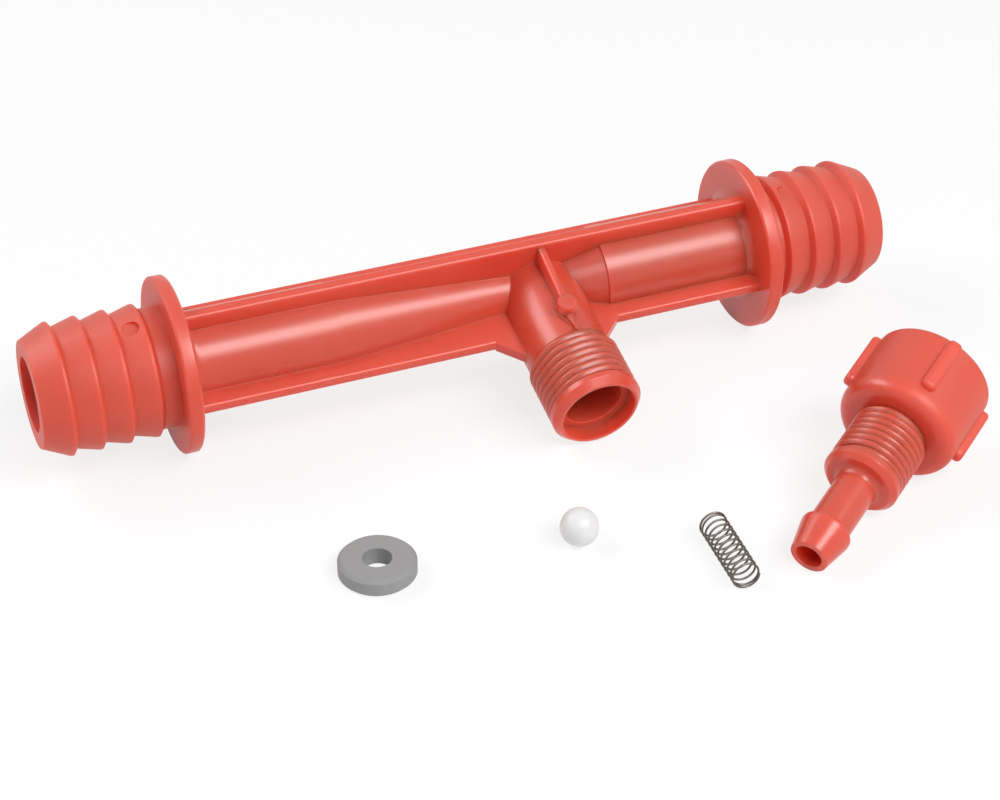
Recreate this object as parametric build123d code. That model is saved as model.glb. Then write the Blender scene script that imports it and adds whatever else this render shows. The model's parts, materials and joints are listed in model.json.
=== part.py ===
from build123d import *
from math import acos, asin, atan, atan2, cos, degrees, hypot, sin
import os

# An ozone injector, taken apart: a moulded venturi body with a barbed hose end on each side
# and a threaded suction port, its winged suction cap, and the port's check valve pieces.
# All sizes are in millimetres. +X runs along the body, +Z is up, and every piece lies on Z = 0.

# Body: tube and water passage
OUTLET_TUBE_L = 63.3        # port axis to the outlet flange
INLET_TUBE_L = 38.5         # port axis to the inlet flange
BORE_R = 6.4                # water passage at both hose ends
TUBE_WALL = 1.9
THROAT_R = 3.0
NOZZLE_R = 2.6              # narrowest point, just before the gas comes in
GAS_GROOVE_R = 3.9
GAS_GROOVE_L = 1.8
OUTLET_STRAIGHT_L = 26.2    # straight length of tube next to the outlet flange
INLET_STRAIGHT_L = 24.3     # straight length of tube next to the inlet flange
INLET_STEP = 0.25           # small step down where that straight length ends

# Body: flanges and hose barbs
FLANGE_R = 15.0
FLANGE_T = 2.5
FLANGE_CHAMFER = 0.3
FLANGE_ROOT_R = 2.0
BARB_COUNT = 4
BARB_NECK_L = 3.5           # flange face to the first barb
BARB_PITCH = 4.8
BARB_CREST_R = 11.2
BARB_LAND_L = 0.4
BARB_ROOT_R = 10.2
BARB_BACK_L = 0.7
BARB_NOSE_R = 9.1
DIMPLE_R = 1.65
DIMPLE_DEPTH = 0.4

# Body: ribs
RIB_R = 11.4                # outer edge of the four ribs, from the body axis
RIB_T = 2.0
RIB_EDGE_R = 0.55
FLARE_REACH = 16.0          # how far the port side rib climbs the port
FLARE_L = 11.2              # half length of that climb along the body

# Suction port
PORT_REACH = 30.2           # body axis to the mouth of the port
BOSS_R = 7.3
THREAD_R = 7.94             # 5/8 inch thread, outside
THREAD_DEPTH = 0.8
THREAD_START = 17.9         # body axis to the first thread
COLLAR_L = 2.2              # plain end of the port
PORT_CHAMFER_L = 1.2
PORT_CHAMFER_R = 1.0
GUSSET_T = 1.4
GUSSET_MID = (5.0, 9.2)     # distance out along the port, height above its axis
GUSSET_END = (13.1, 8.5)
GUSSET_TIP = (17.3, 7.2)
KNOB_R = 1.42
KNOB_H = 9.5                # top of the knob above the port axis
KNOB_SKIRT_W = 3.6

# Check valve
GASKET_R = 6.3
GASKET_T = 3.0
GASKET_HOLE_R = 2.375
GASKET_CHAMFER = 0.5
GASKET_PROUD = 0.2          # how far it stands out of the mouth before the cap presses it
GASKET_CLEARANCE = 0.2
BALL_R = 3.175              # quarter inch ball
CHAMBER_R = 5.2
CHAMBER_L = 8.5
SPRING_R = 2.38             # outside of the coil
SPRING_WIRE_R = 0.18
SPRING_WIRE_SIDES = 6
SPRING_L = 14.4
SPRING_TURNS = 11.5
SPRING_CLEARANCE = 0.22
SPRING_FITTED_L = 12.4      # length of the spring when it holds the ball on its seat
GAS_HOLE_R = 1.5

# Suction cap, from the tip of its tube barb to the open back of its bell
CAP_BORE_R = 2.27
CAP_TIP_R = 3.18
CAP_CREST_R = 4.27
CAP_CREST_X = 5.4
CAP_CREST_LAND = 0.5
CAP_CREST_BACK_L = 0.7
CAP_STEM_R = 3.47
CAP_STEM_FILLET = 1.1
CAP_FRONT_X = 17.0          # front face of the threaded neck
CAP_THREAD_R = 6.5          # about quarter inch pipe thread, outside
CAP_THREAD_DEPTH = 0.8
CAP_COLLAR_L = 2.0
CAP_COLLAR_CHAMFER = 0.9
CAP_SHOULDER_X = 29.3
CAP_SHOULDER_R = 2.3        # rounding of the shoulder
CAP_BELL_WALL = 2.18
CAP_BELL_DEPTH = 12.7
CAP_FLOOR_T = 1.9           # wall between the bell and the shoulder
CAP_THREAD_CLEARANCE = 0.15
CAP_MOUTH_CHAMFER = 0.5
WING_COUNT = 4
WING_H = 1.3
WING_W = 2.6
WING_FRONT_GAP = 3.3        # shoulder face to the front end of a wing
WING_BACK_GAP = 0.2
WING_CORNER_R = 1.0
WING_EDGE_R = 0.8
WING_LIFT = 0.5             # degrees by which a wing misses the floor

# Where the loose pieces lie: x and y from the foot of the port axis, and headings in degrees.
# The spring lies just clear of the line along which a tube is pushed onto the cap's barb.
CAP_PLACE_X = 17.23
CAP_PLACE_Y = -71.64
CAP_HEADING = 35.24
GASKET_PLACE_X = -45.5
GASKET_PLACE_Y = -46.7
BALL_PLACE_X = -13.1
BALL_PLACE_Y = -51.4
SPRING_PLACE_X = 7.4
SPRING_PLACE_Y = -57.4
SPRING_HEADING = -94.0

# Sizes that follow from the ones above
TUBE_R = BORE_R + TUBE_WALL
WAIST_R = THROAT_R + TUBE_WALL
BARB_L = BARB_NECK_L + BARB_COUNT * BARB_PITCH
OUTLET_X = -OUTLET_TUBE_L
INLET_X = INLET_TUBE_L
OUTLET_END_X = OUTLET_X - FLANGE_T - BARB_L
INLET_END_X = INLET_X + FLANGE_T + BARB_L
THREAD_ROOT_R = THREAD_R - THREAD_DEPTH
COLLAR_START = PORT_REACH - COLLAR_L
PORT_FACE_R = THREAD_R - PORT_CHAMFER_R
GASKET_SEAT = PORT_REACH + GASKET_PROUD - GASKET_T
BALL_DROP = (BALL_R ** 2 - GASKET_HOLE_R ** 2) ** 0.5
SPRING_MEAN_R = SPRING_R - SPRING_WIRE_R
SPRING_REST = (BALL_R ** 2 - SPRING_MEAN_R ** 2) ** 0.5
SPRING_SEAT = GASKET_SEAT - BALL_DROP - SPRING_REST - SPRING_FITTED_L
SPRING_GUIDE_R = SPRING_R + SPRING_CLEARANCE
CHAMBER_FLOOR = GASKET_SEAT - CHAMBER_L
CAP_FLOOR_X = CAP_SHOULDER_X + CAP_FLOOR_T
CAP_END_X = CAP_FLOOR_X + CAP_BELL_DEPTH
CAP_CAVITY_R = THREAD_R + CAP_THREAD_CLEARANCE
CAP_BELL_R = CAP_CAVITY_R + CAP_BELL_WALL
CAP_FRONT_RIMS = ((0, CAP_TIP_R), (CAP_CREST_X, CAP_CREST_R))
WING_R = CAP_BELL_R + WING_H


def ring_of(points, axis):
    """Solid of revolution of an outline of (along, radius) points about the X or Y axis."""
    plane = Plane.XZ if axis == "X" else Plane.YX
    outline = make_face(Polyline(*points, close=True))
    return revolve(plane * outline, Axis.X if axis == "X" else Axis.Y)


def circle_edges(solid, radius, x):
    """Edges of one radius about the X axis at one place along it."""
    rims = solid.edges().filter_by(GeomType.CIRCLE)
    return [e for e in rims if abs(e.radius - radius) < 0.01 and abs(e.arc_center.X - x) < 0.01]


def barb_outline(end):
    """Outline of one hose end, from the flange face to the nose; end is -1 or +1."""
    face = INLET_X + FLANGE_T if end > 0 else -(OUTLET_X - FLANGE_T)
    points = [(face, BARB_ROOT_R)]
    for i in range(BARB_COUNT):
        crest = face + BARB_NECK_L + i * BARB_PITCH
        points.append((crest - BARB_BACK_L, BARB_ROOT_R))
        points.append((crest, BARB_CREST_R))
        points.append((crest + BARB_LAND_L, BARB_CREST_R))
    points.append((face + BARB_L, BARB_NOSE_R))
    return [(end * x, r) for x, r in points]


def tube_outline():
    """Outline of the tube between the flanges, thinnest at the throat."""
    return [
        (OUTLET_X, TUBE_R),
        (OUTLET_X + OUTLET_STRAIGHT_L, TUBE_R),
        (-GAS_GROOVE_L, WAIST_R),
        (GAS_GROOVE_L / 2, WAIST_R),
        (INLET_X - INLET_STRAIGHT_L, TUBE_R - INLET_STEP),
        (INLET_X - INLET_STRAIGHT_L, TUBE_R),
        (INLET_X, TUBE_R),
    ]


def turned_body():
    """Hose ends, flanges and tube as one turned outline."""
    outlet = barb_outline(-1)[::-1]
    inlet = barb_outline(1)
    points = [(OUTLET_END_X, 0)] + outlet
    points += [(OUTLET_X - FLANGE_T, FLANGE_R), (OUTLET_X, FLANGE_R)]
    points += tube_outline()
    points += [(INLET_X, FLANGE_R), (INLET_X + FLANGE_T, FLANGE_R)]
    points += inlet + [(INLET_END_X, 0)]
    body = ring_of(points, "X")
    roots = circle_edges(body, TUBE_R, OUTLET_X) + circle_edges(body, TUBE_R, INLET_X)
    body = fillet(roots, FLANGE_ROOT_R)
    rims = []
    for x in (OUTLET_X - FLANGE_T, OUTLET_X, INLET_X, INLET_X + FLANGE_T):
        rims += circle_edges(body, FLANGE_R, x)
    return chamfer(rims, FLANGE_CHAMFER)


def ribs():
    """Four ribs at right angles along the tube, as two crossing plates with rounded edges."""
    length = INLET_X - OUTLET_X
    start = Plane.YZ.offset(OUTLET_X)
    flat = extrude(start * RectangleRounded(2 * RIB_R, RIB_T, RIB_EDGE_R), length)
    upright = extrude(start * RectangleRounded(RIB_T, 2 * RIB_R, RIB_EDGE_R), length)
    return flat + upright


def port_flare():
    """Where the port side rib climbs the port on both sides."""
    corner = FLARE_REACH - RIB_R
    outline = Polyline(
        (-FLARE_L, -RIB_R + RIB_EDGE_R),
        (-FLARE_L, -RIB_R),
        (-FLARE_L + corner, -FLARE_REACH),
        (FLARE_L - corner, -FLARE_REACH),
        (FLARE_L, -RIB_R),
        (FLARE_L, -RIB_R + RIB_EDGE_R),
        (0, -WAIST_R),
        close=True,
    )
    return extrude(make_face(outline), RIB_T / 2, both=True)


def port():
    """Suction port: smooth boss, undercut thread and plain end; it points along -Y."""
    points = [
        (0, 0),
        (0, BOSS_R),
        (-THREAD_START, BOSS_R),
        (-THREAD_START, THREAD_ROOT_R),
        (-COLLAR_START, THREAD_ROOT_R),
        (-COLLAR_START, THREAD_R),
        (-PORT_REACH + PORT_CHAMFER_L, THREAD_R),
        (-PORT_REACH, PORT_FACE_R),
        (-PORT_REACH, 0),
    ]
    return ring_of(points, "Y")


def gusset():
    """Rib on top of the boss, with its knob and pointed skirt."""
    outline = Polyline(
        (0, 0),
        (0, RIB_R - RIB_EDGE_R),
        (-GUSSET_MID[0], GUSSET_MID[1]),
        (-GUSSET_END[0], GUSSET_END[1]),
        (-GUSSET_TIP[0], GUSSET_TIP[1]),
        (-GUSSET_TIP[0], BOSS_R / 2),
        close=True,
    )
    blade = extrude(Plane.YZ * make_face(outline), GUSSET_T / 2, both=True)
    middle = -GUSSET_END[0]
    skirt = make_face(Polyline(
        (0, middle + 2 * KNOB_R),
        (KNOB_SKIRT_W / 2, middle + KNOB_R / 2),
        (KNOB_SKIRT_W / 2, middle - KNOB_R / 2),
        (0, -GUSSET_TIP[0]),
        (-KNOB_SKIRT_W / 2, middle - KNOB_R / 2),
        (-KNOB_SKIRT_W / 2, middle + KNOB_R / 2),
        close=True,
    ))
    skirt = Pos(0, 0, BOSS_R / 2) * extrude(skirt, GUSSET_TIP[1] + GUSSET_T / 4 - BOSS_R / 2)
    knob = Pos(0, middle, BOSS_R / 2) * extrude(Circle(KNOB_R), KNOB_H - BOSS_R / 2)
    return blade + skirt + knob


def water_passage():
    """Venturi passage: inlet bore, nozzle, gas groove, throat and widening outlet."""
    past = 1.0
    points = [
        (OUTLET_END_X - past, 0),
        (OUTLET_END_X - past, BORE_R),
        (OUTLET_X + OUTLET_STRAIGHT_L, BORE_R),
        (-GAS_GROOVE_L, THROAT_R),
        (-GAS_GROOVE_L / 2, THROAT_R),
        (-GAS_GROOVE_L / 2, GAS_GROOVE_R),
        (GAS_GROOVE_L / 2, GAS_GROOVE_R),
        (GAS_GROOVE_L / 2, NOZZLE_R),
        (INLET_X - INLET_STRAIGHT_L, BORE_R),
        (INLET_END_X + past, BORE_R),
        (INLET_END_X + past, 0),
    ]
    return ring_of(points, "X")


def port_passage():
    """Gasket recess, ball chamber, spring guide and gas hole, from the mouth inwards."""
    recess_r = GASKET_R + GASKET_CLEARANCE
    past = 1.0
    points = [
        (-PORT_REACH - past, 0),
        (-PORT_REACH - past, recess_r),
        (-GASKET_SEAT, recess_r),
        (-GASKET_SEAT, CHAMBER_R),
        (-CHAMBER_FLOOR, CHAMBER_R),
        (-CHAMBER_FLOOR + CHAMBER_R - SPRING_GUIDE_R, SPRING_GUIDE_R),
        (-SPRING_SEAT, SPRING_GUIDE_R),
        (-SPRING_SEAT, GAS_HOLE_R),
        (0, GAS_HOLE_R),
        (0, 0),
    ]
    return ring_of(points, "Y")


def dimples():
    """Round gate marks on the barb next to each flange, in line with the top rib."""
    along = FLANGE_T + BARB_NECK_L + BARB_PITCH / 2
    bottom = (BARB_CREST_R + BARB_ROOT_R) / 2 - DIMPLE_DEPTH
    marks = []
    for x in (OUTLET_X - along, INLET_X + along):
        marks.append(Pos(x, 0, bottom) * extrude(Circle(DIMPLE_R), BARB_CREST_R))
    return marks


def port_angle():
    """Angle below level at which the port's end touches the floor with both flanges."""
    corners = [(PORT_REACH, PORT_FACE_R), (PORT_REACH - PORT_CHAMFER_L, THREAD_R)]
    return min(asin(FLANGE_R / hypot(a, r)) - atan2(r, a) for a, r in corners)


def injector_body():
    """The one moulded body, resting on its flanges and the rim of its port."""
    body = turned_body() + ribs() + port_flare() + port() + gusset()
    body -= water_passage()
    body -= port_passage()
    for mark in dimples():
        body -= mark
    return Pos(0, 0, FLANGE_R) * Rot(degrees(port_angle()), 0, 0) * body


def cap_turned():
    """Tube barb, stem, threaded neck and bell, turned about X from the tip at x = 0."""
    front = CAP_FRONT_X
    root = CAP_THREAD_R - CAP_THREAD_DEPTH
    points = [
        (0, CAP_BORE_R),
        (0, CAP_TIP_R),
        (CAP_CREST_X, CAP_CREST_R),
        (CAP_CREST_X + CAP_CREST_LAND, CAP_CREST_R),
        (CAP_CREST_X + CAP_CREST_LAND + CAP_CREST_BACK_L, CAP_STEM_R),
        (front, CAP_STEM_R),
        (front, CAP_THREAD_R - CAP_COLLAR_CHAMFER),
        (front + CAP_COLLAR_CHAMFER, CAP_THREAD_R),
        (front + CAP_COLLAR_L, CAP_THREAD_R),
        (front + CAP_COLLAR_L, root),
        (CAP_SHOULDER_X, root),
        (CAP_SHOULDER_X, CAP_BELL_R),
        (CAP_END_X, CAP_BELL_R),
        (CAP_END_X, CAP_CAVITY_R + CAP_MOUTH_CHAMFER),
        (CAP_END_X - CAP_MOUTH_CHAMFER, CAP_CAVITY_R),
        (CAP_FLOOR_X, CAP_CAVITY_R),
        (CAP_FLOOR_X, CAP_BORE_R),
    ]
    cap = ring_of(points, "X")
    cap = fillet(circle_edges(cap, CAP_BELL_R, CAP_SHOULDER_X), CAP_SHOULDER_R)
    return fillet(circle_edges(cap, CAP_STEM_R, front), CAP_STEM_FILLET)


def wing():
    """One grip bar on the bell, on its +Z side."""
    start = CAP_SHOULDER_X + WING_FRONT_GAP
    end = CAP_END_X - WING_BACK_GAP
    buried = CAP_BELL_R - CAP_BELL_WALL / 2
    plan = RectangleRounded(end - start, WING_W, WING_CORNER_R)
    bar = Pos((start + end) / 2, 0, buried) * extrude(plan, WING_R - buried)
    return fillet(bar.faces().sort_by(Axis.Z)[-1].edges(), WING_EDGE_R)


def cap_pitch():
    """Slope of the cap's axis when its rounded shoulder and its tube barb touch the floor."""
    angles = []
    for x, r in CAP_FRONT_RIMS:
        run = CAP_SHOULDER_X + CAP_SHOULDER_R - x
        rise = CAP_BELL_R - CAP_SHOULDER_R - r
        angles.append(asin(CAP_SHOULDER_R / hypot(run, rise)) + atan(rise / run))
    return min(angles)


def cap_roll():
    """Angle from straight down at which the edge of a wing just misses the floor."""
    pitch = cap_pitch()
    ahead = WING_FRONT_GAP + WING_CORNER_R - CAP_SHOULDER_R
    floor = CAP_BELL_R - CAP_SHOULDER_R + (CAP_SHOULDER_R + ahead * sin(pitch)) / cos(pitch)
    high = WING_R - WING_EDGE_R
    wide = WING_W / 2 - WING_EDGE_R
    return degrees(acos((floor - WING_EDGE_R) / hypot(high, wide)) + atan2(wide, high)) + WING_LIFT


def suction_cap():
    """The winged cap, lying on its shoulder and its tube barb, with one wing near the floor."""
    cap = cap_turned()
    bar = wing()
    for i in range(WING_COUNT):
        cap += Rot(180 + cap_roll() + i * 360 / WING_COUNT, 0, 0) * bar
    pitch = cap_pitch()
    height = max(r * cos(pitch) - x * sin(pitch) for x, r in CAP_FRONT_RIMS)
    turned = Rot(0, 0, CAP_HEADING) * Rot(0, -degrees(pitch), 0)
    return Pos(CAP_PLACE_X, CAP_PLACE_Y, height) * turned * cap


def check_gasket():
    """Rubber gasket with its middle hole, lying flat."""
    ring = extrude(Circle(GASKET_R) - Circle(GASKET_HOLE_R), GASKET_T)
    rims = ring.edges().filter_by(GeomType.CIRCLE)
    outer = [e for e in rims if e.radius > (GASKET_R + GASKET_HOLE_R) / 2]
    return Pos(GASKET_PLACE_X, GASKET_PLACE_Y, 0) * chamfer(outer, GASKET_CHAMFER)


def check_ball():
    """Check ball on the floor."""
    return Pos(BALL_PLACE_X, BALL_PLACE_Y, BALL_R) * Sphere(BALL_R)


def check_spring():
    """Compression spring of drawn wire, lying on its side; the wire's section has few sides."""
    length = SPRING_L - 2 * SPRING_WIRE_R
    path = Helix(length / SPRING_TURNS, length, SPRING_MEAN_R)
    section = Plane(path @ 0, z_dir=path % 0) * RegularPolygon(SPRING_WIRE_R, SPRING_WIRE_SIDES)
    coil = Pos(0, 0, SPRING_WIRE_R) * sweep(section, path, is_frenet=True)
    coil = Rot(0, 0, SPRING_HEADING) * Rot(0, 90, 0) * coil
    return Pos(SPRING_PLACE_X, SPRING_PLACE_Y, -coil.bounding_box().min.Z) * coil


PIECES = {
    "injector_body": injector_body(),
    "suction_cap": suction_cap(),
    "check_gasket": check_gasket(),
    "check_ball": check_ball(),
    "check_spring": check_spring(),
}

# The origin is the middle of the whole layout, on the floor.
LAYOUT = Compound(list(PIECES.values())).bounding_box()
SHIFT = Pos(-LAYOUT.center().X, -LAYOUT.center().Y, 0)

os.makedirs("parts", exist_ok=True)
for name, shape in PIECES.items():
    export_step(SHIFT * shape, f"parts/{name}.step")
    box = (SHIFT * shape).bounding_box()
    print(name, [round(v, 3) for v in (*box.min, *box.max)], "volume", round(shape.volume, 1))
print("shift", [round(v, 4) for v in SHIFT.position])
print("port angle", round(degrees(port_angle()), 3), "cap pitch", round(degrees(cap_pitch()), 3))
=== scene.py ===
# %% [markdown]
# # An ozone injector, laid out in its pieces
# This lesson dresses a small venturi injector of red moulded plastic. Its suction cap, rubber gasket,
# check ball and spring lie beside it. The CAD model already holds every shape that fits or carries, so
# Blender only adds the finish of each surface, the screw threads, a few small forms on the body and a
# finely wound spring.

# %% Load the frame
import json
from math import cos, pi, radians, sin, tau

import bmesh
import bpy
from mathutils import Matrix, Vector


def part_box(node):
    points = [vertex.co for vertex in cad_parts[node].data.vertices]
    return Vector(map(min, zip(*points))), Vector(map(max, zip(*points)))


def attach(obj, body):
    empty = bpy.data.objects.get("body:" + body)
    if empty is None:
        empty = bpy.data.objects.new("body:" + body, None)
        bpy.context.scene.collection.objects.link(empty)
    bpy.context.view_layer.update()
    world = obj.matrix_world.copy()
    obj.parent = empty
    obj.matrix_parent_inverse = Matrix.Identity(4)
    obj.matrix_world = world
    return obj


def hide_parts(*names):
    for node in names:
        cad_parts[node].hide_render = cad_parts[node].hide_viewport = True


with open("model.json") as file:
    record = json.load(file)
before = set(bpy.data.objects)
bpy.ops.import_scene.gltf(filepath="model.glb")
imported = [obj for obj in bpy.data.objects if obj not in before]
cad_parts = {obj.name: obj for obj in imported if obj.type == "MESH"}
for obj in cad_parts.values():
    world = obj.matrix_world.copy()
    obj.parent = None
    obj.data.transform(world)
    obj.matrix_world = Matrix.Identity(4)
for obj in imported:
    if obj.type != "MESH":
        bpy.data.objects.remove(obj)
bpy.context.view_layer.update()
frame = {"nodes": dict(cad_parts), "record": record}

MM = 0.001
print("pieces in the frame:", ", ".join(sorted(frame["nodes"])))

# %% [markdown]
# ## Where things lie
# The threads have to sit exactly on the port and on the cap. Their axes could be typed in, but then they
# would stay behind if the model moved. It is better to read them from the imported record: the hose end
# gives the body's axis, the port's chamber gives the port's axis, and the tube end gives the cap's.

# %% Read the axes from the record
record = frame["record"]
mounts = {m["name"]: m for m in record["mounts"]}
openings = {o["name"]: o for o in record["physics"]["openings"]}


def middle(box):
    """Middle of a box given by its lowest and highest corner."""
    return (Vector(box[0]) + Vector(box[1])) / 2


hose_end = Vector(mounts["outlet_hose_end"]["pos_m"])
chamber = middle(openings["port_chamber"]["box_m"])
port_foot = Vector((chamber.x, hose_end.y, hose_end.z))
port_way = (chamber - port_foot).normalized()
cap_way = -Vector(mounts["suction_tube_end"]["axis"]).normalized()
CAP_CREST_FROM_TIP = 5.65 * MM
cap_tip = Vector(mounts["suction_tube_end"]["pos_m"]) - cap_way * CAP_CREST_FROM_TIP
print("port axis", [round(v, 4) for v in port_way], "cap axis", [round(v, 4) for v in cap_way])

# %% [markdown]
# ## The camera
# The photo looks down on the pieces from the port's side, through a long lens, so lines that run away
# from the camera hardly come together. The view is written as two angles and a place measured from the
# foot of the port's axis, so it follows the body if the layout grows on one side.

# %% Camera
VIEW_AZIMUTH = -21.79
VIEW_ELEVATION = 34.79
LENS = 90.5
CAMERA_PLACE = port_foot + Vector((-142.31, -340.62, 232.61)) * MM

camera = bpy.data.objects.new("camera", bpy.data.cameras.new("camera"))
bpy.context.scene.collection.objects.link(camera)
camera.data.lens = LENS
camera.data.sensor_width = 36.0
camera.data.clip_start = 0.01
camera.location = CAMERA_PLACE
camera.rotation_euler = (radians(90 - VIEW_ELEVATION), 0, radians(VIEW_AZIMUTH))
bpy.context.scene.camera = camera
print("camera at", [round(v, 4) for v in camera.location])

# %% [markdown]
# ## Helpers for materials
# A node material is a list of small steps. One function turns a colour from the hex form that people
# read into the linear values that the renderer needs, and one adds a node with its settings and links.

# %% Colour and node helpers


def linear(hex_colour):
    """Linear red, green, blue and alpha of an sRGB hex colour."""
    channels = [int(hex_colour[i:i + 2], 16) / 255 for i in (1, 3, 5)]
    return [c / 12.92 if c <= 0.04045 else ((c + 0.055) / 1.055) ** 2.4 for c in channels] + [1.0]


def add(tree, kind, inputs=None, **settings):
    """One node of a kind, with its settings and the values or links of its inputs."""
    node = tree.nodes.new(kind)
    for name, value in settings.items():
        setattr(node, name, value)
    for name, value in (inputs or {}).items():
        if isinstance(value, bpy.types.NodeSocket):
            tree.links.new(value, node.inputs[name])
        else:
            node.inputs[name].default_value = value
    return node


def start_material(name):
    """An empty node material and its tree."""
    material = bpy.data.materials.new(name)
    material.use_nodes = True
    material.node_tree.nodes.clear()
    return material, material.node_tree


def per_metre(size_mm):
    """Pattern scale at which one cell of a noise is about this many millimetres wide."""
    return 1 / (size_mm * MM)


print("red plastic in linear light:", [round(c, 3) for c in linear("#D0392F")])

# %% [markdown]
# ## Red moulded plastic
# The body and the cap are injection moulded in a dense, slightly translucent engineering plastic. To the
# eye this is a satin skin with broad soft highlights, a warm glow where the wall is thin or folds inwards,
# faint flow clouds in the colour, and edges that are rounded by a fraction of a millimetre, so that each
# one catches a thin line of light. A bevel node rounds the edges in the shading, because at this size
# the real rounding is narrower than two pixels.

# %% Red plastic material
FLOW_CLOUD_MM = 9.0
SKIN_GRAIN_MM = 0.35        # the real grain is finer, and is drawn this coarse so that it shows
EDGE_ROUND_MM = 0.18
MATT_FROM_MM = 51.0         # beyond the flanges the mould was left more matt
MATT_BLEND_MM = 2.0


def moulded_plastic(name, pale, deep):
    """Satin moulded plastic with flow clouds, a fine skin and rounded edges."""
    material, tree = start_material(name)
    place = add(tree, "ShaderNodeTexCoord").outputs["Object"]
    clouds = add(tree, "ShaderNodeTexNoise", {
        "Vector": place, "Scale": per_metre(FLOW_CLOUD_MM), "Detail": 3.0})
    grain = add(tree, "ShaderNodeTexNoise", {
        "Vector": place, "Scale": per_metre(SKIN_GRAIN_MM), "Detail": 2.0})
    colour = add(tree, "ShaderNodeMix", {"Factor": clouds.outputs["Fac"]}, data_type="RGBA")
    colour.inputs["A"].default_value = linear(deep)
    colour.inputs["B"].default_value = linear(pale)
    gloss = add(tree, "ShaderNodeMapRange", {"Value": clouds.outputs["Fac"], "To Min": 0.25, "To Max": 0.33})
    along = add(tree, "ShaderNodeSeparateXYZ", {"Vector": place})
    from_middle = add(tree, "ShaderNodeMath", {0: along.outputs["X"]}, operation="ABSOLUTE")
    matt = add(tree, "ShaderNodeMapRange", {
        "Value": from_middle.outputs[0], "From Min": MATT_FROM_MM * MM,
        "From Max": (MATT_FROM_MM + MATT_BLEND_MM) * MM, "To Min": 0.0, "To Max": 0.20})
    rough = add(tree, "ShaderNodeMath", {
        0: gloss.outputs["Result"], 1: matt.outputs["Result"]}, operation="ADD")
    rounded = add(tree, "ShaderNodeBevel", {"Radius": EDGE_ROUND_MM * MM}, samples=6)
    skin = add(tree, "ShaderNodeBump", {
        "Height": grain.outputs["Fac"], "Strength": 0.20, "Distance": 0.03 * MM,
        "Normal": rounded.outputs["Normal"]})
    shader = add(tree, "ShaderNodeBsdfPrincipled", {
        "Base Color": colour.outputs["Result"], "Roughness": rough.outputs[0],
        "IOR": 1.55, "Subsurface Weight": 0.8,
        "Subsurface Radius": (1.0, 0.14, 0.13), "Subsurface Scale": 6.0 * MM,
        "Normal": skin.outputs["Normal"]})
    add(tree, "ShaderNodeOutputMaterial", {"Surface": shader.outputs["BSDF"]})
    return material


body_plastic = moulded_plastic("red_moulded_plastic_body", "#D8553F", "#CE4A34")
cap_plastic = moulded_plastic("red_moulded_plastic_cap", "#DA533C", "#D04831")
print("made", body_plastic.name, "and", cap_plastic.name)

# %% [markdown]
# ## Grey rubber, white ball and spring wire
# The gasket is pressed from a grey fluorinated rubber: dull, with hardly any highlight and a dusty
# mottle. The ball is ground from white plastic and has a soft even sheen. The spring is drawn stainless
# wire, whose fine lines follow the wire and break its reflections up.

# %% Rubber, ball and wire materials
RUBBER_SPECK_MM = 0.5
BALL_HAZE_MM = 1.5
WIRE_LINE_MM = 0.12


def grey_rubber():
    """Dull pressed rubber with a dusty mottle."""
    material, tree = start_material("grey_pressed_rubber")
    place = add(tree, "ShaderNodeTexCoord").outputs["Object"]
    specks = add(tree, "ShaderNodeTexNoise", {
        "Vector": place, "Scale": per_metre(RUBBER_SPECK_MM), "Detail": 4.0})
    colour = add(tree, "ShaderNodeMix", {"Factor": specks.outputs["Fac"]}, data_type="RGBA")
    colour.inputs["A"].default_value = linear("#898989")
    colour.inputs["B"].default_value = linear("#9A9A9A")
    rounded = add(tree, "ShaderNodeBevel", {"Radius": EDGE_ROUND_MM * MM}, samples=6)
    skin = add(tree, "ShaderNodeBump", {
        "Height": specks.outputs["Fac"], "Strength": 0.25, "Distance": 0.05 * MM,
        "Normal": rounded.outputs["Normal"]})
    shader = add(tree, "ShaderNodeBsdfPrincipled", {
        "Base Color": colour.outputs["Result"], "Roughness": 0.72, "IOR": 1.5,
        "Normal": skin.outputs["Normal"]})
    add(tree, "ShaderNodeOutputMaterial", {"Surface": shader.outputs["BSDF"]})
    return material


def white_ball():
    """Ground white plastic with a soft sheen."""
    material, tree = start_material("white_ground_plastic")
    place = add(tree, "ShaderNodeTexCoord").outputs["Object"]
    haze = add(tree, "ShaderNodeTexNoise", {"Vector": place, "Scale": per_metre(BALL_HAZE_MM), "Detail": 2.0})
    gloss = add(tree, "ShaderNodeMapRange", {"Value": haze.outputs["Fac"], "To Min": 0.34, "To Max": 0.46})
    shader = add(tree, "ShaderNodeBsdfPrincipled", {
        "Base Color": linear("#E0E0E0"), "Roughness": gloss.outputs["Result"], "IOR": 1.5,
        "Subsurface Weight": 0.15, "Subsurface Radius": (1.0, 1.0, 1.0), "Subsurface Scale": 0.6 * MM})
    add(tree, "ShaderNodeOutputMaterial", {"Surface": shader.outputs["BSDF"]})
    return material


def spring_wire():
    """Drawn stainless wire with fine lines."""
    material, tree = start_material("drawn_spring_wire")
    place = add(tree, "ShaderNodeTexCoord").outputs["Object"]
    lines = add(tree, "ShaderNodeTexNoise", {"Vector": place, "Scale": per_metre(WIRE_LINE_MM), "Detail": 2.0})
    gloss = add(tree, "ShaderNodeMapRange", {"Value": lines.outputs["Fac"], "To Min": 0.22, "To Max": 0.42})
    shader = add(tree, "ShaderNodeBsdfPrincipled", {
        "Base Color": linear("#6E6760"), "Metallic": 1.0, "Roughness": gloss.outputs["Result"]})
    add(tree, "ShaderNodeOutputMaterial", {"Surface": shader.outputs["BSDF"]})
    return material


rubber = grey_rubber()
ball_white = white_ball()
wire = spring_wire()
print("made", rubber.name, ball_white.name, wire.name)

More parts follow.
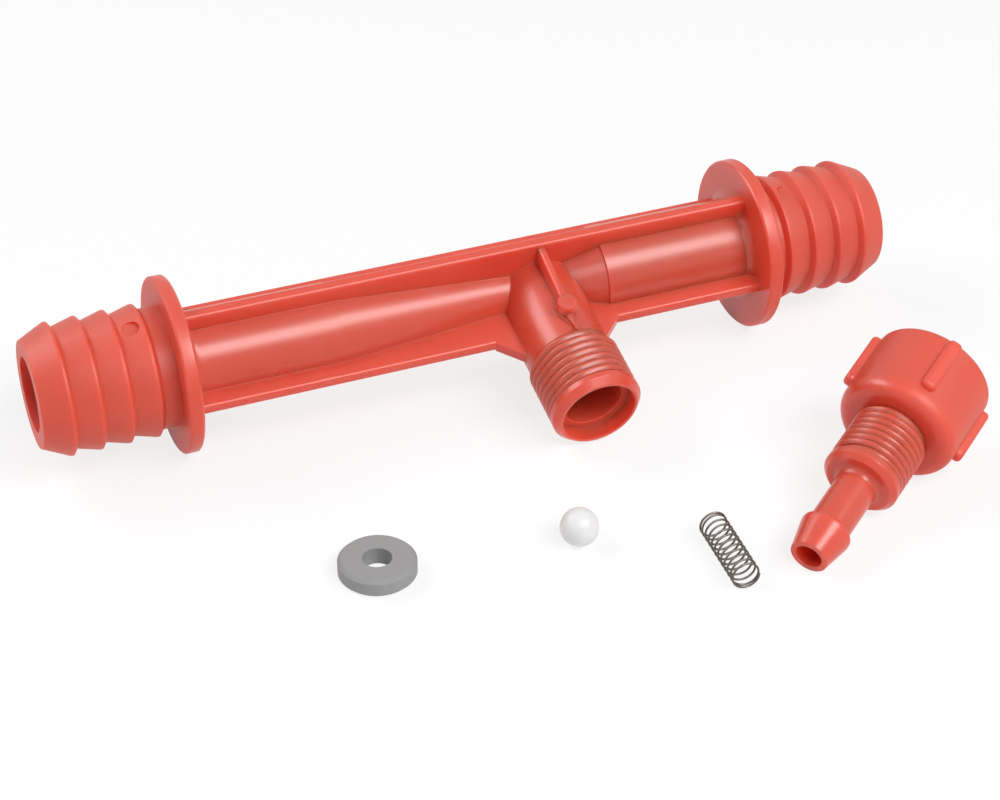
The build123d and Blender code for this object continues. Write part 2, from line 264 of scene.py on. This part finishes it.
# %% [markdown]
# ## Dress the pieces that the frame already has
# These shapes are right as they are, so each only gets its material. Assigning to the material slots
# leaves the mesh alone, which matters because a piece of the frame may never be moved or reshaped.

# %% Materials for the frame's pieces
FINISHES = {
    "injector_body": body_plastic,
    "suction_cap": cap_plastic,
    "check_gasket": rubber,
    "check_ball": ball_white,
}
for name, material in FINISHES.items():
    piece = frame["nodes"][name]
    piece.data.materials.clear()
    piece.data.materials.append(material)
    print(name, "takes", material.name, "on", len(piece.data.polygons), "faces")

# %% [markdown]
# ## Screw threads
# A thread is one ridge that climbs a cylinder in a helix. It could be cut with a boolean, but a spin that
# also moves forwards with each step winds the ridge straight from its profile. The frame leaves a plain
# undercut for it, at the root of the thread. A moulded thread is blunt, so the profile is a low rounded
# hump, and it sinks into the cylinder at its end instead of stopping short.

# %% Piece and thread helpers
THREAD_STEPS = 56           # steps in one turn
RUN_OUT_TURNS = 0.35        # turns over which a ridge sinks at each end
RIDGE_SHARE = 0.98          # width of a ridge as a share of the pitch
SUNK_SHARE = 0.98           # share of its height that a ridge has lost at its very end
SHARP_ANGLE = radians(40)   # faces that meet at more than this keep a crisp edge
WELD = 0.001 * MM           # points closer than this become one

# Half of a blunt ridge: distance from its middle as a share of the width, and height as a share of the depth.
RIDGE_FLANK = ((0.07, 1.0), (0.2, 0.9), (0.49, 0.55), (0.5, 0.0))


def frame_at(foot, way):
    """Matrix that takes +Z to a direction and the origin to a foot point."""
    return Matrix.Translation(foot) @ way.to_track_quat("Z", "Y").to_matrix().to_4x4()


def red_piece(name, bm, material):
    """Turn a finished bmesh into a red plastic piece that rides on the object."""
    bmesh.ops.recalc_face_normals(bm, faces=bm.faces)
    mesh = bpy.data.meshes.new(name)
    bm.to_mesh(mesh)
    bm.free()
    mesh.shade_smooth()
    mesh.set_sharp_from_angle(angle=SHARP_ANGLE)
    mesh.materials.append(material)
    piece = bpy.data.objects.new(name, mesh)
    bpy.context.scene.collection.objects.link(piece)
    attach(piece, "root")
    print(name, "has", len(mesh.polygons), "faces")
    return piece


def hump(width, low, high):
    """Profile of a blunt ridge: distance along the axis and radius, from one foot to the other."""
    shape = [(-along, rise) for along, rise in reversed(RIDGE_FLANK)] + list(RIDGE_FLANK)
    return [(width * along, low + (high - low) * rise) for along, rise in shape]


def helix_ridge(name, foot, way, start, end, pitch, low, high, material):
    """A right-hand ridge wound round the axis from start to end; all lengths in millimetres."""
    width = RIDGE_SHARE * pitch
    turns = (end - start) / pitch
    steps = round(turns * THREAD_STEPS)
    bm = bmesh.new()
    points = [bm.verts.new((radius * MM, 0, along * MM)) for along, radius in hump(width, low, high)]
    edges = [bm.edges.new(pair) for pair in zip(points, points[1:] + points[:1])]
    climb = Vector((0, 0, pitch * MM * turns / steps))
    bmesh.ops.spin(bm, geom=points + edges, cent=(0, 0, 0), axis=(0, 0, 1), dvec=climb,
                   angle=turns * tau, steps=steps, use_merge=False, use_duplicate=False)
    # The angle gives a point's part of a turn and its height the whole turns. Near both ends it sinks.
    for v in bm.verts:
        round_part = (Vector((v.co.x, v.co.y)).angle_signed(Vector((1, 0)), 0) % tau) / tau
        turn = round_part + round(v.co.z / (pitch * MM) - round_part)
        sunk = max(0.0, 1 - min(turn, turns - turn) / RUN_OUT_TURNS)
        flat = Vector((v.co.x, v.co.y, 0))
        lower = (flat.length - low * MM) * min(1.0, sunk) * SUNK_SHARE
        v.co -= flat.normalized() * lower
    ends = [e for e in bm.edges if e.is_boundary]
    bmesh.ops.holes_fill(bm, edges=ends, sides=len(points))
    bmesh.ops.transform(bm, verts=bm.verts, matrix=frame_at(foot + way * start * MM, way))
    return red_piece(name, bm, material)


# %% [markdown]
# ## The three threads
# The port and the bell of the cap share a fine thread, one outside and one inside, so both take the same
# pitch. The neck of the cap has a pipe thread of its own. All ridges almost touch at their feet, which
# keeps the valleys between them shallow.

# %% Port, bell and neck threads
FINE_PITCH = 1.411          # eighteen threads to the inch
SINK = 0.12                 # depth of a ridge's feet in the cylinder that carries it

helix_ridge("port_thread", port_foot, port_way, 18.0, 28.0, FINE_PITCH, 7.14 - SINK, 7.94, body_plastic)
helix_ridge("neck_thread", cap_tip, cap_way, 19.15, 29.1, FINE_PITCH * 0.93, 5.70 - SINK, 6.50, cap_plastic)
helix_ridge("bell_thread", cap_tip, cap_way, 32.8, 42.2, FINE_PITCH, 8.09 + SINK, 7.36, cap_plastic)

# %% [markdown]
# ## Small forms on the body
# The photo shows a few forms that are finer than the frame's, or that lie a little elsewhere. The right
# tube ends in a small sharp step, some 3 mm nearer to the port than in the frame. The rib on top of the
# boss has a straight rounded crest, a knob with a raised rim and a short point.
# Each is a thin piece laid over the solid, with its feet sunk in it. A turned one is a spin of its
# outline, and a crest is the convex hull of the profiles at its two ends.

# %% Step, crest, knob and point
TURN_STEPS = 96
CREST_STEPS = 8             # flats in the round top of a crest
CREST_FOOT = 6.0            # height above the port's axis where a crest starts, inside the boss
KNOB_OUT = 13.1             # distance of the knob along the port

# Outlines to turn: distance along the axis and radius, in millimetres. The inner side of the skin runs
# in the middle of the frame's wall, so that it shows neither outside nor in the bore.
INLET_TUBE_SKIN = ((0.9, 4.4), (0.9, 4.95), (11.0, 8.0), (11.0, 8.38), (37.5, 8.38), (37.5, 7.2), (14.2, 7.2))
KNOB_RIM = ((6.5, 0.0), (6.5, 1.74), (9.42, 1.74), (9.6, 1.64), (9.65, 1.48), (9.6, 1.32), (9.53, 1.22),
            (9.53, 0.0))

# Ends of the crests: distance out along the port, height of the top and half the width.
CREST_ENDS = ((0.4, 10.95, 0.74), (KNOB_OUT, 9.05, 0.72))
POINT_ENDS = ((14.2, 8.7, 0.95), (17.8, 7.95, 0.10))

inlet_way =Vector(mounts["inlet_hose_end"]["axis"]).normalized()
port_up = inlet_way.cross(port_way).normalized()
if port_up.z < 0:
    port_up = -port_up


def turned_piece(name, foot, way, outline, material):
    """An outline turned about its axis; one that doesn't start on the axis is closed to a ring."""
    bm = bmesh.new()
    points = [bm.verts.new((radius * MM, 0, along * MM)) for along, radius in outline]
    last = points[:1] if outline[0][1] > 0 else []
    edges = [bm.edges.new(pair) for pair in zip(points, points[1:] + last)]
    bmesh.ops.spin(bm, geom=points + edges, cent=(0, 0, 0), axis=(0, 0, 1),
                   angle=tau, steps=TURN_STEPS, use_merge=True, use_duplicate=False)
    bmesh.ops.remove_doubles(bm, verts=bm.verts, dist=WELD)
    bmesh.ops.transform(bm, verts=bm.verts, matrix=frame_at(foot, way))
    return red_piece(name, bm, material)


def crest_profile(out, top, half_width):
    """Points of an upright profile with a round top, at one distance out along the port."""
    centre = port_foot + port_way * out * MM
    profile = [(-half_width, CREST_FOOT), (half_width, CREST_FOOT)]
    for i in range(CREST_STEPS + 1):
        angle = pi * i / CREST_STEPS
        profile.append((half_width * cos(angle), top - half_width * (1 - sin(angle))))
    return [centre + (inlet_way * side + port_up * height) * MM for side, height in profile]


def crest_piece(name, near, far, material):
    """Convex hull of two upright profiles."""
    bm = bmesh.new()
    for place in crest_profile(*near) + crest_profile(*far):
        bm.verts.new(place)
    bmesh.ops.convex_hull(bm, input=bm.verts)
    return red_piece(name, bm, material)


turned_piece("inlet_tube_skin", port_foot, inlet_way, INLET_TUBE_SKIN, body_plastic)
turned_piece("knob_rim", port_foot + port_way * KNOB_OUT * MM, port_up, KNOB_RIM, body_plastic)
crest_piece("gusset_crest", *CREST_ENDS, body_plastic)
crest_piece("gusset_point", *POINT_ENDS, body_plastic)

# %% [markdown]
# ## The check spring
# A compression spring is one wire. Its end turns lie against each other and its middle turns are open.
# A curve with a round bevel is the simplest way to draw it: a loop works out the points, and the climb
# per turn is small at both ends and even between them.

# %% Spring
SPRING_HEADING = -94.0      # degrees from +X to the way that the spring points
SPRING_R = 2.38
SPRING_L = 14.4
WIRE_R = 0.18
END_TURNS = 1.0             # turns at each end that lie against the next
OPEN_TURNS = 10.0
CLOSED_CLEARANCE = 1.05     # climb of a closed turn in wire widths
POINTS_PER_TURN = 36


def spring_piece():
    """The wound wire, in the place of the frame's plain coil."""
    low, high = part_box("check_spring")
    centre = (low + high) / 2
    centre.z = SPRING_R * MM
    heading = radians(SPRING_HEADING)
    along = Vector((cos(heading), sin(heading), 0))
    across = Vector((-sin(heading), cos(heading), 0))
    length = SPRING_L - 2 * WIRE_R
    closed = 2 * WIRE_R * CLOSED_CLEARANCE
    opened = (length - 2 * END_TURNS * closed) / OPEN_TURNS
    turns = 2 * END_TURNS + OPEN_TURNS
    curve = bpy.data.curves.new("check_spring_coil", "CURVE")
    curve.dimensions = "3D"
    spline = curve.splines.new("POLY")
    count = round(turns * POINTS_PER_TURN)
    spline.points.add(count)
    mean = (SPRING_R - WIRE_R) * MM
    for i, point in enumerate(spline.points):
        turn = i / POINTS_PER_TURN
        first = min(turn, END_TURNS) * closed
        middle_part = min(max(turn - END_TURNS, 0), OPEN_TURNS) * opened
        last = max(turn - END_TURNS - OPEN_TURNS, 0) * closed
        reach = (first + middle_part + last - length / 2) * MM
        rise = Vector((0, 0, mean * sin(turn * tau)))
        place = centre + along * reach + across * mean * cos(turn * tau) + rise
        point.co = (*place, 1)
    curve.bevel_depth = WIRE_R * MM
    curve.bevel_resolution = 3
    curve.use_fill_caps = True
    wound = bpy.data.objects.new("coil_curve", curve)
    bpy.context.scene.collection.objects.link(wound)
    bpy.context.view_layer.update()
    mesh = bpy.data.meshes.new_from_object(wound.evaluated_get(bpy.context.evaluated_depsgraph_get()))
    bpy.data.objects.remove(wound)
    bm = bmesh.new()
    bm.from_mesh(mesh)
    bmesh.ops.remove_doubles(bm, verts=bm.verts, dist=WELD)
    bm.to_mesh(mesh)
    bm.free()
    mesh.shade_smooth()
    piece = bpy.data.objects.new("check_spring_coil", mesh)
    bpy.context.scene.collection.objects.link(piece)
    return piece


spring = spring_piece()
spring.data.materials.clear()
spring.data.materials.append(wire)
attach(spring, "root")
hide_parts("check_spring")
print("spring has", len(spring.data.polygons), "faces")

# %% [markdown]
# ## A white floor that adds no light
# The photo is a cut-out on white. A brighter lamp would bleach the red before it whitened the floor, so
# the white is painted on: rays from the camera, and rays that a glossy or clear surface sends on, see most
# of the floor as plain white. All other rays meet ordinary paper, which keeps a faint shadow.

# %% Floor
FLOOR_SIZE = 6.0
FLOOR_OWN_WHITE = 0.80      # share of plain white in what those rays see of the floor


def white_rays(tree):
    """One for rays from the camera or from a glossy or clear surface, else zero."""
    rays = add(tree, "ShaderNodeLightPath")
    sent_on = add(tree, "ShaderNodeMath", {
        0: rays.outputs["Is Glossy Ray"], 1: rays.outputs["Is Transmission Ray"]}, operation="MAXIMUM")
    either = add(tree, "ShaderNodeMath", {
        0: rays.outputs["Is Camera Ray"], 1: sent_on.outputs[0]}, operation="MAXIMUM")
    return either.outputs[0]


def floor_piece():
    """A wide flat sheet under the pieces."""
    bm = bmesh.new()
    bmesh.ops.create_grid(bm, x_segments=1, y_segments=1, size=FLOOR_SIZE / 2)
    mesh = bpy.data.meshes.new("floor")
    bm.to_mesh(mesh)
    bm.free()
    piece = bpy.data.objects.new("floor", mesh)
    bpy.context.scene.collection.objects.link(piece)
    material, tree = start_material("white_paper_floor")
    paper = add(tree, "ShaderNodeBsdfDiffuse", {"Color": linear("#F4F4F4")})
    plain = add(tree, "ShaderNodeEmission", {"Color": (1, 1, 1, 1), "Strength": 1.0})
    share = add(tree, "ShaderNodeMath", {0: white_rays(tree), 1: FLOOR_OWN_WHITE}, operation="MULTIPLY")
    mixed = add(tree, "ShaderNodeMixShader", {0: share.outputs[0], 1: paper.outputs[0], 2: plain.outputs[0]})
    add(tree, "ShaderNodeOutputMaterial", {"Surface": mixed.outputs[0]})
    mesh.materials.append(material)
    return piece


floor_piece()
print("floor is", FLOOR_SIZE, "m wide")

# %% [markdown]
# ## Two soft boxes
# A highlight tells where its lamp stands: it is the place that a mirror lying along the surface would
# show. On the tubes and the boss of the photo they all point to one wide soft box in front of the body,
# on the right and half way up. A weaker second streak points to another one behind it on the left.
# The world is white to the same rays as the floor, and only a dim fill to the rest.

# %% Lamps and world
SOFTBOX_DISTANCE = 0.80
FRONT_BOX = {"azimuth": -68, "elevation": 48, "width": 0.72, "height": 0.31, "watts": 6.2}
BACK_BOX = {"azimuth": 145, "elevation": 44, "width": 0.60, "height": 0.36, "watts": 3.2}
WORLD_FILL = 0.13


def softbox(name, azimuth, elevation, width, height, watts):
    """A soft lamp, level in its width, that faces the foot of the port from two angles in degrees."""
    lamp = bpy.data.objects.new(name, bpy.data.lights.new(name, "AREA"))
    lamp.data.shape = "RECTANGLE"
    lamp.data.size = width
    lamp.data.size_y = height
    lamp.data.energy = watts
    a, e = radians(azimuth), radians(elevation)
    way = Vector((cos(e) * cos(a), cos(e) * sin(a), sin(e)))
    lamp.location = port_foot + way * SOFTBOX_DISTANCE
    lamp.rotation_euler = way.to_track_quat("Z", "Y").to_euler()
    bpy.context.scene.collection.objects.link(lamp)
    return lamp


softbox("front_box", **FRONT_BOX)
softbox("back_box", **BACK_BOX)

world = bpy.data.worlds.new("white_room")
world.use_nodes = True
bpy.context.scene.world = world
world.node_tree.nodes.clear()
level = add(world.node_tree, "ShaderNodeMapRange", {
    "Value": white_rays(world.node_tree), "To Min": WORLD_FILL, "To Max": 1.0})
sky = add(world.node_tree, "ShaderNodeBackground", {"Color": (1, 1, 1, 1), "Strength": level.outputs["Result"]})
add(world.node_tree, "ShaderNodeOutputWorld", {"Surface": sky.outputs[0]})
bpy.context.scene.view_settings.view_transform = "Standard"
print("front box", FRONT_BOX["watts"], "W, back box", BACK_BOX["watts"], "W, world fill", WORLD_FILL)
